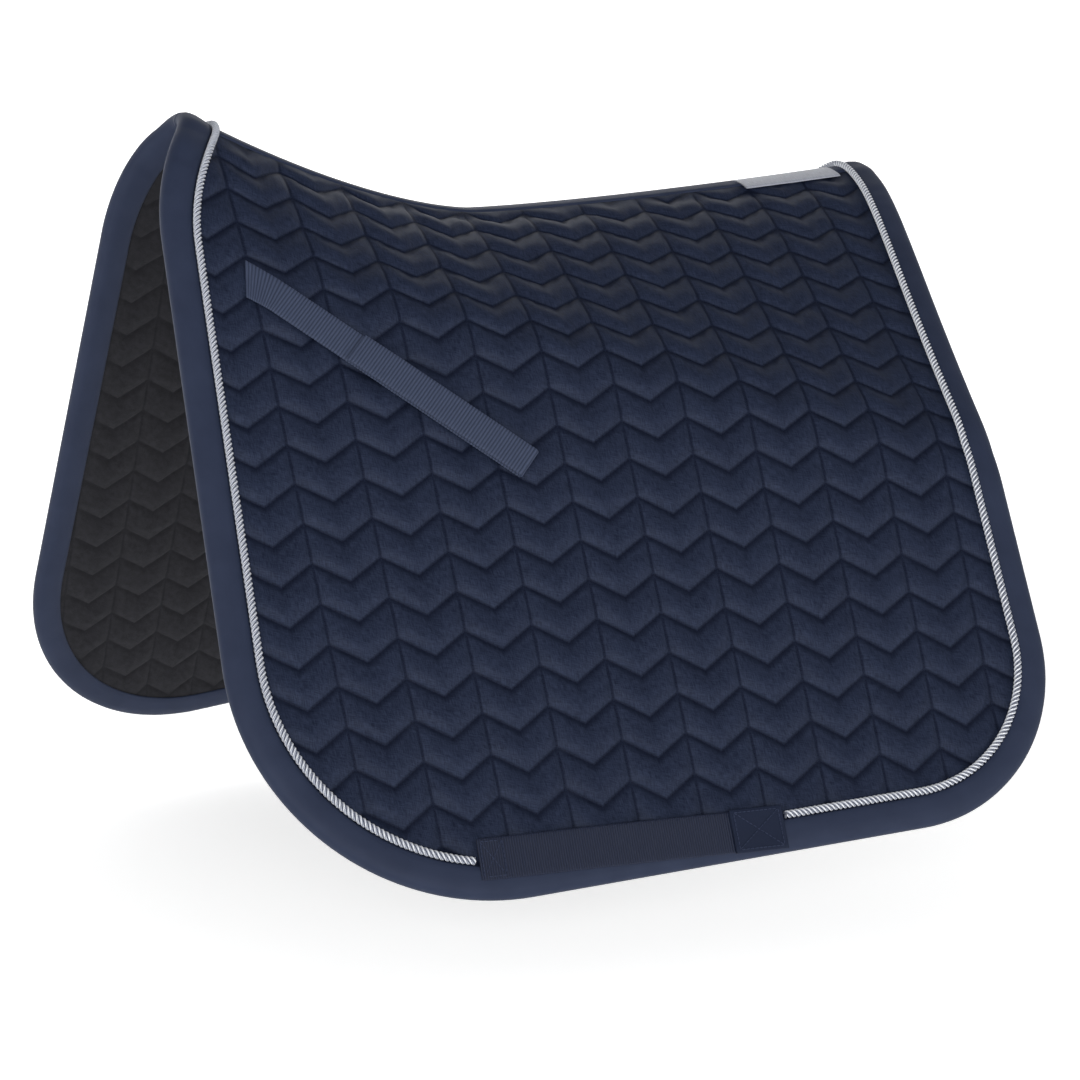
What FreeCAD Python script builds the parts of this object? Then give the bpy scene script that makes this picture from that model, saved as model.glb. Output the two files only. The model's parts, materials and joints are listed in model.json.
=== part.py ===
import FreeCAD, Part

import math
import os

import Sketcher

from FreeCAD import Vector

# Quilted dressage saddle pad.
# +Z is up, +X runs from the withers to the loin, the near side is -Y and the off side is +Y.
# The origin is on the underside of the spine seam, 292 mm behind its wither end, where the horse's back
# carries the pad.
# Levels are heights above the middle of the pad's thickness, outwards.

SIZES = {
    # the spine, along the middle of the pad's thickness
    "wither_x": -292.0,
    "wither_z": 79.2,
    "dip_x": -45.0,
    "dip_z": 3.7,
    "loin_x": 340.0,
    "loin_z": 41.2,
    "spine_half_wither": 34.0,
    "spine_half_loin": 46.0,
    # the straight line on each side where the flap bends away from the crown
    "fold_front_x": -329.0,
    "fold_front_y": 69.0,
    "fold_front_z": -6.8,
    "fold_rear_x": 276.0,
    "fold_rear_y": 281.0,
    "fold_rear_z": -180.8,
    "shoulder_front_x": -322.0,
    "shoulder_rear_x": 323.0,
    "fold_gap": 7.0,
    # the flap, measured along the fold line from its front end and square to it
    "flap_slope": 61.2,
    "fold_length": 664.3,
    "front_corner_along": 180.0,
    "front_corner_drop": 502.0,
    "front_corner_radius": 185.0,
    "rear_corner_along": 758.0,
    "rear_corner_drop": 264.0,
    "rear_corner_radius": 135.0,
    # the laminate
    "lining_low": -5.0,
    "padding_low": -4.0,
    "padding_high": 4.0,
    "cover_high": 5.0,
    "binding_low": -6.0,
    "binding_high": 6.0,
    "no_inset": 0.0,
    "panel_inset": 1.0,
    "binding_width": 22.5,
    "tape_thickness": 1.0,
    "tape_half_width": 17.0,
    # the twisted trim cord
    "cord_radius": 2.5,
    "cord_inset": 25.5,
    "cord_level": 7.8,
    # the woven label beside the spine
    "label_front_x": 205.0,
    "label_rear_x": 300.0,
    "label_top": 3.0,
    "label_bottom": 26.0,
    "label_thickness": 0.5,
    "label_clearance": 0.3,
    # the girth strap, across the bottom binding
    "girth_along": 315.0,
    "girth_drop": 413.5,
    "girth_turn": 19.0,
    "girth_length": 227.0,
    "girth_width": 30.0,
    "webbing": 1.6,
    "girth_level": 6.4,
    "anchor_length": 40.0,
    "anchor_width": 32.0,
    "anchor_level": 8.1,
    "stitch_box": 18.0,
    "stitch_thread": 1.2,
    "stitch_height": 0.4,
    "stitch_level": 8.1,
    # the billet strap and its folded-back tab
    "billet_along": 70.0,
    "billet_drop": 22.0,
    "billet_turn": -21.6,
    "billet_length": 247.0,
    "billet_width": 25.0,
    "sewn_end": 14.0,
    "sewn_level": 5.3,
    "strap_gap": 2.0,
    "strap_level": 8.5,
    "tab_length": 152.0,
    "tab_level": 12.5,
    "hook_level": 10.2,
    "loop_level": 11.4,
    "fastener": 1.0,
    "fastener_width": 21.0,
    "fastener_length": 140.0,
}

NEAR = -1
OFF = 1
SIDES = (("near", NEAR), ("off", OFF))
WITHER_CURVE = 1.6
LOIN_CURVE = 1.3
SHOULDER_SHARE = 0.8
CONTROL_SHARE = 2 / 3
CROWN_STATIONS = 16
CROWN_STEPS = 8
CORNER_STEPS = 12
CORD_SIDES = 8
NUDGE = 1e-4

doc = FreeCAD.newDocument("saddle_pad")
sheet = doc.addObject("Spreadsheet::Sheet", "sizes")
for row, (alias, value) in enumerate(SIZES.items(), start=1):
    sheet.set(f"A{row}", alias)
    sheet.set(f"B{row}", str(value))
    sheet.setAlias(f"B{row}", alias)
doc.recompute()

sub_parts = []


def size(alias):
    """One driving dimension from the sheet, in millimetres or degrees."""
    return float(sheet.get(alias))


def lerp(start, end, share):
    return start + (end - start) * share


# ---- the crown: the curved part over the horse's back, between the two fold lines ----


def ridge_point(k):
    """The spine at k, from 0 at the withers to 1 at the loin: high, dipped, then rising again."""
    x = lerp(size("wither_x"), size("loin_x"), k)
    if x < size("dip_x"):
        share = (size("dip_x") - x) / (size("dip_x") - size("wither_x"))
        rise = (size("wither_z") - size("dip_z")) * share**WITHER_CURVE
    else:
        share = (x - size("dip_x")) / (size("loin_x") - size("dip_x"))
        rise = (size("loin_z") - size("dip_z")) * share**LOIN_CURVE
    return Vector(x, 0, size("dip_z") + rise)


def fold_end(place, side):
    """An end of the fold line: place is "front" or "rear"."""
    return Vector(size(f"fold_{place}_x"), side * size(f"fold_{place}_y"), size(f"fold_{place}_z"))


def crown_controls(k):
    """The four control points of the near side's section at k, from the ridge down to the fold line."""
    ridge = ridge_point(k)
    fold = lerp(fold_end("front", NEAR), fold_end("rear", NEAR), k)
    half = lerp(size("spine_half_wither"), size("spine_half_loin"), k)
    shoulder_x = lerp(size("shoulder_front_x"), size("shoulder_rear_x"), k)
    shoulder = Vector(shoulder_x, -SHOULDER_SHARE * half, ridge.z)
    return ridge, ridge + Vector(0, -half, 0), lerp(fold, shoulder, CONTROL_SHARE), fold


def crown_middle(k, share):
    """A point in the middle of the near side's thickness."""
    a, b, c, d = crown_controls(k)
    rest = 1 - share
    return a * rest**3 + b * (3 * rest**2 * share) + c * (3 * rest * share**2) + d * share**3


def crown_end(k):
    """The share of the section at which the crown stops short of the fold line."""
    controls = crown_controls(k)
    return 1 - size("fold_gap") / (3 * (controls[3] - controls[2]).Length)


def crown_normal(k, share):
    along = crown_middle(k + NUDGE, share) - crown_middle(k - NUDGE, share)
    down = crown_middle(k, share + NUDGE) - crown_middle(k, share - NUDGE)
    return down.cross(along).normalize()


def crown_point(k, reach, level):
    """A point of the crown. Reach is 0 at the ridge, -1 at the near lower edge and 1 at the off one."""
    share = abs(reach) * crown_end(k)
    point = crown_middle(k, share) + crown_normal(k, share) * level
    if reach > 0:
        point.y = -point.y
    return point


def reach_of(k, distance):
    """The reach that lies a short distance from the ridge."""
    half = lerp(size("spine_half_wither"), size("spine_half_loin"), k)
    return distance / (3 * half * crown_end(k))


def steps(start, end, count):
    return [lerp(start, end, i / count) for i in range(count + 1)]


def triangle(a, b, c):
    return Part.Face(Part.makePolygon([a, b, c, a]))


def quad(a, b, c, d):
    """Two flat triangles for the four corners a, b, c, d in order, split along the shorter diagonal."""
    if (c - a).Length <= (d - b).Length:
        return [triangle(a, b, c), triangle(a, c, d)]
    return [triangle(a, b, d), triangle(b, c, d)]


def lofted_solid(rings, cap):
    """A closed flat-faced solid through rings of points. Cap lists the quads that close both ends."""
    faces = []
    for ring, following in zip(rings, rings[1:]):
        for i in range(len(ring)):
            j = (i + 1) % len(ring)
            faces += quad(ring[i], ring[j], following[j], following[i])
    for ring in (rings[0], rings[-1]):
        for corners in cap:
            faces += quad(*[ring[i] for i in corners])
    shell = Part.makeShell(faces)
    shell.sewShape()
    solid = Part.makeSolid(shell)
    if solid.Volume < 0:
        solid.reverse()
    return solid


def half_section(k):
    """The reaches of one half of the section that every layer shares, so that touching faces match."""
    return [0] + steps(reach_of(k, size("tape_half_width")), 1, CROWN_STEPS)


def whole_section(k):
    half = half_section(k)
    return [-reach for reach in reversed(half)] + half[1:]


def crown_slab(stations, reaches, low, high):
    """A layer of the crown between two levels. Reaches gives the reaches across it at a station."""
    rings = []
    for k in stations:
        across = reaches(k)
        top = [crown_point(k, reach, high) for reach in across]
        bottom = [crown_point(k, reach, low) for reach in reversed(across)]
        rings.append(top + bottom)
    last = len(rings[0]) - 1
    cap = [(i, i + 1, last - i - 1, last - i) for i in range(last // 2)]
    return lofted_solid(rings, cap)


def crown_share(distance):
    """A distance along the spine as a share of its length."""
    return distance / (size("loin_x") - size("wither_x"))


def add_shape(label, shape, placement=None):
    feature = doc.addObject("Part::Feature", label)
    feature.Label = label
    feature.Shape = shape
    if placement:
        feature.Placement = placement
    sub_parts.append(feature)
    return feature


def tape_stations():
    """The stations along the spine between the two cords."""
    margin = crown_share(size("cord_inset") + 2 * size("cord_radius"))
    return steps(margin, 1 - margin, CROWN_STATIONS)


def crown_layers():
    """Cover, padding and lining of both halves of the crown, which meet at the spine seam."""
    nose = crown_share(size("panel_inset"))
    rim = crown_share(size("binding_width"))
    stations = [nose, rim] + tape_stations() + [1 - rim, 1 - nose]
    layers = (
        ("cover", "padding_high", "cover_high"),
        ("padding", "padding_low", "padding_high"),
        ("lining", "lining_low", "padding_low"),
    )
    for name, side in SIDES:
        for layer, low, high in layers:
            shape = crown_slab(
                stations,
                lambda k: [side * reach for reach in half_section(k)],
                size(low),
                size(high),
            )
            add_shape(f"{name}_crown_{layer}", shape)


def spine_tapes():
    """The tape over the spine seam and the one under it."""
    thickness = size("tape_thickness")

    def width(k):
        reach = reach_of(k, size("tape_half_width"))
        return [-reach, 0, reach]

    top = size("cover_high")
    bottom = size("lining_low")
    add_shape("spine_cover_tape", crown_slab(tape_stations(), width, top, top + thickness))
    add_shape("spine_seam_tape", crown_slab(tape_stations(), width, bottom - thickness, bottom))


def label_patch():
    """The blank woven label on the near side of the spine, near the loin."""
    start = crown_share(size("label_front_x") - size("wither_x"))
    end = crown_share(size("label_rear_x") - size("wither_x"))
    low = size("cover_high") + size("tape_thickness") + size("label_clearance")

    def width(k):
        return steps(-reach_of(k, size("label_top")), -reach_of(k, size("label_bottom")), 2)

    shape = crown_slab(steps(start, end, CROWN_STEPS), width, low, low + size("label_thickness"))
    add_shape("spine_label", shape)


def arch_binding(label, edge, direction):
    """The binding folded round one end of the crown, from the near fold line over the ridge to the off one."""
    nose = edge + direction * crown_share(size("panel_inset"))
    rim = edge + direction * crown_share(size("binding_width"))
    outline = (
        (edge, "binding_low"),
        (edge, "binding_high"),
        (rim, "binding_high"),
        (rim, "cover_high"),
        (nose, "cover_high"),
        (nose, "lining_low"),
        (rim, "lining_low"),
        (rim, "binding_low"),
    )
    rings = []
    for i in range(len(whole_section(edge))):
        rings.append([crown_point(k, whole_section(k)[i], size(level)) for k, level in outline])
    cap = ((1, 2, 3, 4), (0, 1, 4, 5), (0, 5, 6, 7))
    add_shape(label, lofted_solid(rings, cap))


def cord_ring(centre, normal, across):
    """The cord's outline round one point of its route."""
    ring = []
    for i in range(CORD_SIDES):
        angle = 2 * math.pi * i / CORD_SIDES
        ring.append(centre + (normal * math.cos(angle) + across * math.sin(angle)) * size("cord_radius"))
    return ring


CORD_CAP = [(0, i, i + 1, i + 2) for i in range(1, CORD_SIDES - 1, 2)]


def arch_cord(label, edge, direction):
    """The trim cord over one end of the crown, beside the binding."""
    k = edge + direction * crown_share(size("cord_inset"))
    rings = []
    for reach in whole_section(k):
        centre = crown_point(k, reach, size("cord_level"))
        normal = (crown_point(k, reach, size("cord_level") + 1) - centre).normalize()
        across = crown_point(k + NUDGE, reach, size("cord_level")) - centre
        across = (across - normal * across.dot(normal)).normalize()
        rings.append(cord_ring(centre, normal, across))
    add_shape(label, lofted_solid(rings, CORD_CAP))


# ---- the flaps: flat panels that hang from the fold lines ----


def flap_placement(side):
    """The flap's own frame: x along the fold line from its front end, z outwards, y up on the near side."""
    front = fold_end("front", side)
    along = (fold_end("rear", side) - front).normalize()
    slope = math.radians(size("flap_slope"))
    down = Vector(0, side * math.cos(slope), -math.sin(slope))
    outward = down.cross(along).normalize() * -side
    upward = outward.cross(along)
    return FreeCAD.Placement(front, FreeCAD.Rotation(along, upward, outward, "ZXY"))


def flap_point(side, along, drop):
    """A point of the flap's own plane: drop is measured down from the fold line."""
    return Vector(along, side * drop, 0)


def edge_lines(inset):
    """The four corners of the flap's outline, moved inwards, before its two lower corners are rounded."""
    corners = [
        Vector(0, 0, 0),
        Vector(size("front_corner_along"), size("front_corner_drop"), 0),
        Vector(size("rear_corner_along"), size("rear_corner_drop"), 0),
        Vector(size("fold_length"), 0, 0),
    ]
    lines = []
    for start, end in zip(corners, corners[1:]):
        direction = (end - start).normalize()
        inwards = Vector(direction.y, -direction.x, 0)
        lines.append((start + inwards * inset, direction))
    top = (Vector(0, size("fold_gap"), 0), Vector(1, 0, 0))
    ordered = [top] + lines + [top]
    return [crossing(a, b) for a, b in zip(ordered, ordered[1:])]


def crossing(first, second):
    """Where two lines of the flap's plane meet."""
    (start, along), (other, heading) = first, second
    offset = other - start
    turn = along.x * heading.y - along.y * heading.x
    return start + along * ((offset.x * heading.y - offset.y * heading.x) / turn)


def plate(label, side, inset, low, high):
    """A flat layer of the flap between two levels, inset from the cut edge, with its lower corners rounded."""
    body = doc.addObject("PartDesign::Body", label)
    body.Label = label
    sketch = body.newObject("Sketcher::SketchObject", f"{label}_outline")
    plane = next(item for item in body.Origin.OriginFeatures if item.Role == "XY_Plane")
    sketch.AttachmentSupport = [(plane, "")]
    sketch.MapMode = "FlatFace"
    sketch.setExpression("AttachmentOffset.Base.z", f"sizes.{low}")
    corners = [flap_point(side, p.x, p.y) for p in edge_lines(size(inset))]
    for start, end in zip(corners, corners[1:] + corners[:1]):
        sketch.addGeometry(Part.LineSegment(start, end), False)
    for i in range(4):
        sketch.addConstraint(Sketcher.Constraint("Coincident", i, 2, (i + 1) % 4, 1))
    for i, corner in enumerate(corners):
        sketch.addConstraint(Sketcher.Constraint("DistanceX", -1, 1, i, 1, corner.x))
        sketch.addConstraint(Sketcher.Constraint("DistanceY", -1, 1, i, 1, corner.y))
    pad = body.newObject("PartDesign::Pad", f"{label}_pad")
    pad.Profile = sketch
    pad.setExpression("Length", f"sizes.{high} - sizes.{low}")
    doc.recompute()
    base = pad
    for place, corner in (("front", corners[1]), ("rear", corners[2])):
        edges = [
            f"Edge{i}"
            for i, edge in enumerate(base.Shape.Edges, start=1)
            if all(math.hypot(v.X - corner.x, v.Y - corner.y) < NUDGE for v in edge.Vertexes)
        ]
        fillet = body.newObject("PartDesign::Fillet", f"{label}_{place}_corner")
        fillet.Base = (base, edges)
        fillet.setExpression("Radius", f"sizes.{place}_corner_radius - sizes.{inset}")
        doc.recompute()
        base = fillet
    body.Placement = flap_placement(side)
    return body


def cut(label, base, tool):
    result = doc.addObject("Part::Cut", label)
    result.Label = label
    result.Base = base
    result.Tool = tool
    doc.recompute()
    return result


def flap_panel(name, side):
    """Cover, padding, lining and edge binding of one flap."""
    layers = (
        ("cover", "padding_high", "cover_high"),
        ("padding", "padding_low", "padding_high"),
        ("lining", "lining_low", "padding_low"),
    )
    for layer, low, high in layers:
        sub_parts.append(plate(f"{name}_flap_{layer}", side, "panel_inset", low, high))
    whole = plate(f"{name}_binding_blank", side, "no_inset", "binding_low", "binding_high")
    window = plate(f"{name}_binding_window", side, "binding_width", "binding_low", "binding_high")
    slot = plate(f"{name}_binding_slot", side, "panel_inset", "lining_low", "cover_high")
    frame = cut(f"{name}_binding_frame", whole, window)
    sub_parts.append(cut(f"{name}_flap_binding", frame, slot))


def rounded_corner(before, corner, after, radius, inset):
    """Points along the rounded corner of the flap's outline, moved inwards by the inset."""
    arriving = (corner - before).normalize()
    leaving = (after - corner).normalize()
    half_turn = arriving.getAngle(leaving) / 2
    inner = radius - inset
    centre = corner + (leaving - arriving).normalize() * (radius / math.cos(half_turn))
    start = (corner - arriving * radius * math.tan(half_turn) - centre).normalize()
    end = (corner + leaving * radius * math.tan(half_turn) - centre).normalize()
    points = []
    for share in steps(0, 1, CORNER_STEPS):
        first = math.sin((1 - share) * 2 * half_turn)
        second = math.sin(share * 2 * half_turn)
        points.append(centre + (start * first + end * second) * (inner / math.sin(2 * half_turn)))
    return points


def edge_run(place, stop_along):
    """The cord's route from the fold line down one end of the flap and along the bottom to the girth strap."""
    inset = size("cord_inset")
    outline = edge_lines(0)
    shifted = edge_lines(inset)
    if place == "rear":
        outline.reverse()
        shifted.reverse()
    bend = rounded_corner(*outline[:3], size(f"{place}_corner_radius"), inset)
    heading = shifted[2].x - shifted[1].x
    route = [shifted[0]]
    for point in bend + [shifted[2]]:
        before = route[-1]
        if (point.x - stop_along) * heading > 0:
            share = (stop_along - before.x) / (point.x - before.x)
            route.append(lerp(before, point, share))
            break
        route.append(point)
    return route


def edge_cord(name, side, place, stop_along):
    """One run of the twisted trim cord, lying beside the binding on the cover."""
    route = [Vector(p.x, side * p.y, size("cord_level")) for p in edge_run(place, stop_along)]
    upward = Vector(0, 0, 1)
    rings = []
    for i, point in enumerate(route):
        before = route[max(i - 1, 0)]
        after = route[min(i + 1, len(route) - 1)]
        rings.append(cord_ring(point, upward, (after - before).normalize().cross(upward)))
    add_shape(f"{name}_trim_cord_{place}", lofted_solid(rings, CORD_CAP), flap_placement(side))


def on_flap(side, along, drop, level, turn, shift=0.0):
    """The placement of a strap's corner: shift moves it along the strap from the given point."""
    point = flap_point(side, along, drop)
    point.z = level
    local = FreeCAD.Placement(point, FreeCAD.Rotation(Vector(0, 0, 1), turn))
    return flap_placement(side) * local * FreeCAD.Placement(Vector(shift, 0, 0), FreeCAD.Rotation())


def tape(label, lengths, placement):
    """A flat piece of webbing or tape, centred on its own line: lengths are expressions for the sheet."""
    box = doc.addObject("Part::Box", label)
    box.Label = label
    for side_name, expression in zip(("Length", "Width", "Height"), lengths):
        box.setExpression(side_name, expression)
    doc.recompute()
    box.Placement = placement * FreeCAD.Placement(Vector(0, -box.Width.Value / 2, 0), FreeCAD.Rotation())
    return box


def girth_strap(name, side):
    """The webbing loop for the girth, its sewn anchor at the rear and the box stitch at the front."""
    turn = -side * size("girth_turn")
    place = (size("girth_along"), size("girth_drop"))

    def spot(level, shift=0.0):
        return on_flap(side, *place, size(level), turn, shift)

    sub_parts.append(tape(
        f"{name}_girth_strap",
        ("sizes.girth_length", "sizes.girth_width", "sizes.webbing"),
        spot("girth_level"),
    ))
    sub_parts.append(tape(
        f"{name}_girth_anchor",
        ("sizes.anchor_length", "sizes.anchor_width", "sizes.webbing"),
        spot("anchor_level", size("girth_length") - size("anchor_length")),
    ))
    outer = tape(
        f"{name}_stitch_outer",
        ("sizes.stitch_box", "sizes.girth_width - 2 * sizes.stitch_thread", "sizes.stitch_height"),
        spot("stitch_level", size("stitch_thread")),
    )
    inner = tape(
        f"{name}_stitch_inner",
        (
            "sizes.stitch_box - 2 * sizes.stitch_thread",
            "sizes.girth_width - 4 * sizes.stitch_thread",
            "sizes.stitch_height",
        ),
        spot("stitch_level", 2 * size("stitch_thread")),
    )
    sub_parts.append(cut(f"{name}_girth_stitching", outer, inner))


def billet_strap(name, side):
    """The billet strap: its sewn end, the free webbing, the folded-back tab and the hook and loop tapes."""
    turn = -side * size("billet_turn")
    place = (size("billet_along"), size("billet_drop"))
    free_start = size("sewn_end") + size("strap_gap")
    tab_start = size("billet_length") - size("tab_length")
    fastener_start = size("billet_length") - size("fastener_length") - size("strap_gap")
    pieces = (
        ("billet_end", "sizes.sewn_end", "sizes.billet_width", "sizes.webbing", "sewn_level", 0.0),
        (
            "billet_strap",
            "sizes.billet_length - sizes.sewn_end - sizes.strap_gap",
            "sizes.billet_width",
            "sizes.webbing",
            "strap_level",
            free_start,
        ),
        (
            "hook_tape",
            "sizes.fastener_length",
            "sizes.fastener_width",
            "sizes.fastener",
            "hook_level",
            fastener_start,
        ),
        (
            "loop_tape",
            "sizes.fastener_length",
            "sizes.fastener_width",
            "sizes.fastener",
            "loop_level",
            fastener_start,
        ),
        ("billet_tab", "sizes.tab_length", "sizes.billet_width", "sizes.webbing", "tab_level", tab_start),
    )
    for piece, length, width, height, level, start in pieces:
        placement = on_flap(side, *place, size(level), turn, start)
        sub_parts.append(tape(f"{name}_{piece}", (length, width, height), placement))


def build():
    crown_layers()
    spine_tapes()
    label_patch()
    arch_binding("wither_binding", 0, 1)
    arch_binding("loin_binding", 1, -1)
    arch_cord("wither_trim_cord", 0, 1)
    arch_cord("loin_trim_cord", 1, -1)
    strap_end = size("girth_along") + size("girth_length") * math.cos(math.radians(size("girth_turn")))
    for name, side in SIDES:
        flap_panel(name, side)
        edge_cord(name, side, "front", size("girth_along") - size("cord_radius"))
        edge_cord(name, side, "rear", strap_end + size("cord_radius"))
        girth_strap(name, side)
        billet_strap(name, side)


def check_and_write():
    """Every object has to be sound before anything is written."""
    doc.recompute()
    failed = [item.Label for item in doc.Objects if {"Invalid", "Error"} & set(item.State)]
    for part in sub_parts:
        if part.Shape.isNull() or not part.Shape.isValid() or part.Shape.Volume <= 0:
            failed.append(part.Label)
    if failed:
        raise RuntimeError(f"failed: {failed}")
    os.makedirs("parts", exist_ok=True)
    for part in sub_parts:
        part.Shape.exportStep(f"parts/{part.Label}.step")
        print(part.Label, round(part.Shape.Volume, 1), len(part.Shape.Solids))


build()
check_and_write()
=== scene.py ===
import json
import math

import bpy
import numpy as np
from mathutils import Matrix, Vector

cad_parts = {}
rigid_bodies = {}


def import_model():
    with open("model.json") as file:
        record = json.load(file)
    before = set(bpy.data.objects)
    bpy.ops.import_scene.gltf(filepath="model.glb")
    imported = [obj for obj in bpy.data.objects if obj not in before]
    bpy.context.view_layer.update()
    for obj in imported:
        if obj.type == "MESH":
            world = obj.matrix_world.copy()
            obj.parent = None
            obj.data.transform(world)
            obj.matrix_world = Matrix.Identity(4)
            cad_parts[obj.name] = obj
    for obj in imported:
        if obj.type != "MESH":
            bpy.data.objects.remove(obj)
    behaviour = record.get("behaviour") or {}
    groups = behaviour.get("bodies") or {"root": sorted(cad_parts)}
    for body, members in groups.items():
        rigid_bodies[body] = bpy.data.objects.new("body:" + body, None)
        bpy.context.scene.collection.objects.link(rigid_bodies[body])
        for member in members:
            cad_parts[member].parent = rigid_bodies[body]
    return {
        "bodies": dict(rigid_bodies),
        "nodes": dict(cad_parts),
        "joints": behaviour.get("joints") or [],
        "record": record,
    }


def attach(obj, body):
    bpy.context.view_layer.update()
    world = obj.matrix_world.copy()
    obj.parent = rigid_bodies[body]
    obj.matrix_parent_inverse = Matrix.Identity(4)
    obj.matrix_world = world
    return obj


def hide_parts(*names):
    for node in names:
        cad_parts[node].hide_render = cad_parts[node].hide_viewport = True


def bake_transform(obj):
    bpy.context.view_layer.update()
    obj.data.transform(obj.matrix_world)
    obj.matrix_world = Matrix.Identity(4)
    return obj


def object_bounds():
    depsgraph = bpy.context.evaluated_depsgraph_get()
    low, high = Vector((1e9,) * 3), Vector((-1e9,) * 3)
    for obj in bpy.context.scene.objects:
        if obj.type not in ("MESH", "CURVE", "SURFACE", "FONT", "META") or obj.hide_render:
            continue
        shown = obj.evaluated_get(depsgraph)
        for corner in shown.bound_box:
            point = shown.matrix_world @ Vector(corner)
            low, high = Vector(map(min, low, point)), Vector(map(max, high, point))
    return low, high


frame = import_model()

cad_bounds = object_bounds()

MM = 0.001
SIDES = (("near", -1), ("off", 1))
joints = {joint["name"]: joint for joint in frame["record"]["behaviour"]["joints"]}

# ---- driving dimensions, in metres, as in the CAD model ----

WITHER_X, WITHER_Z, WITHER_CURVE = -0.292, 0.0792, 1.6
DIP_X, DIP_Z = -0.045, 0.0037
LOIN_X, LOIN_Z, LOIN_CURVE = 0.340, 0.0412, 1.3
SPINE_HALF_WITHER, SPINE_HALF_LOIN = 0.034, 0.046
SHOULDER_FRONT_X, SHOULDER_REAR_X, SHOULDER_SHARE = -0.322, 0.323, 0.8
FLAP_SLOPE = math.radians(61.2)
FOLD_LENGTH = 0.6643
FRONT_CORNER, FRONT_RADIUS = (0.180, 0.502), 0.185
REAR_CORNER, REAR_RADIUS = (0.758, 0.264), 0.135
CROWN_LENGTH = 0.626
BINDING = 0.0225
SPINE_TAPE_HALF = 0.017
CORD_INSET, CORD_LEVEL = 0.0255, 0.0078
GIRTH_PLACE, GIRTH_TURN, GIRTH_LENGTH, GIRTH_WIDTH = (0.315, 0.4135), math.radians(-19.0), 0.227, 0.030
BILLET_PLACE, BILLET_TURN, BILLET_LENGTH, BILLET_WIDTH = (0.070, 0.022), math.radians(21.6), 0.247, 0.025
TAB_LENGTH = 0.152
FASTENER_START, FASTENER_LENGTH, FASTENER_WIDTH = 0.142, 0.140, 0.021
LABEL_ENDS, LABEL_EDGES = (0.205, 0.300), (3 * MM, 26 * MM)
SPINE_TAPE_END = 0.026
ANCHOR_LENGTH, ANCHOR_WIDTH = 0.040, 0.032

# ---- the quilting, laid out in columns along the pad and rows down it ----

COLUMN = 0.050
ROW = 0.0307
FIRST_COLUMN_X = -0.2692
COLUMN_LEAN, COLUMN_FAN, FAN_MIDDLE = -0.0448, -0.0493, 5.0
CHEVRON = 0.53
ROWS_AT_FOLD = (-0.2403, 0.2497, -0.0101)
FOLD_ORIGIN_X, FOLD_SPAN = -0.3365, 0.6538

FOLD_FRONT = np.array(joints["near_flap_lift"]["pos_m"])
FOLD_AXIS = -np.array(joints["near_flap_lift"]["axis"])
FOLD_AXIS /= np.linalg.norm(FOLD_AXIS)
FLAP_DOWN = np.array([0, -math.cos(FLAP_SLOPE), -math.sin(FLAP_SLOPE)])
ALONG_PER_DROP = FLAP_DOWN @ FOLD_AXIS
DROP_DIRECTION = FLAP_DOWN - ALONG_PER_DROP * FOLD_AXIS
DROP_SHARE = np.linalg.norm(DROP_DIRECTION)
DROP_DIRECTION /= DROP_SHARE
FLAP_OUT = np.cross(DROP_DIRECTION, FOLD_AXIS)


def lerp(a, b, k):
    return a + (b - a) * k


def smoothstep(low, high, x):
    s = np.clip((x - low) / (high - low), 0, 1)
    return s * s * (3 - 2 * s)


# ---- the middle of the near side's thickness, from x and the distance below the fold ----

SMOOTHING = 0.030
TABLE_X = np.linspace(-0.370, 0.420, 317)
TABLE_BELOW = 0.070
TABLE_STEPS = 240
SHARES = np.linspace(0, 1, 161)


def crown_controls(k):
    """The four control points of the section at k, from 0 at the withers to 1 at the loin."""
    x = lerp(WITHER_X, LOIN_X, k)
    front = np.clip((DIP_X - x) / (DIP_X - WITHER_X), 0, None)
    rear = np.clip((x - DIP_X) / (LOIN_X - DIP_X), 0, None)
    z = DIP_Z + (WITHER_Z - DIP_Z) * front**WITHER_CURVE + (LOIN_Z - DIP_Z) * rear**LOIN_CURVE
    half = lerp(SPINE_HALF_WITHER, SPINE_HALF_LOIN, k)
    zero = np.zeros_like(k)
    ridge = np.stack([x, zero, z], -1)
    beside = np.stack([x, -half, z], -1)
    fold = FOLD_FRONT + np.multiply.outer(k * FOLD_LENGTH, FOLD_AXIS)
    shoulder = np.stack([lerp(SHOULDER_FRONT_X, SHOULDER_REAR_X, k), -SHOULDER_SHARE * half, z], -1)
    return ridge, beside, lerp(fold, shoulder, 2 / 3), fold


def crown_point(k, share):
    a, b, c, d = crown_controls(k)
    s = share[..., None]
    r = 1 - s
    return a * r**3 + 3 * b * r * r * s + 3 * c * r * s * s + d * s**3


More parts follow.
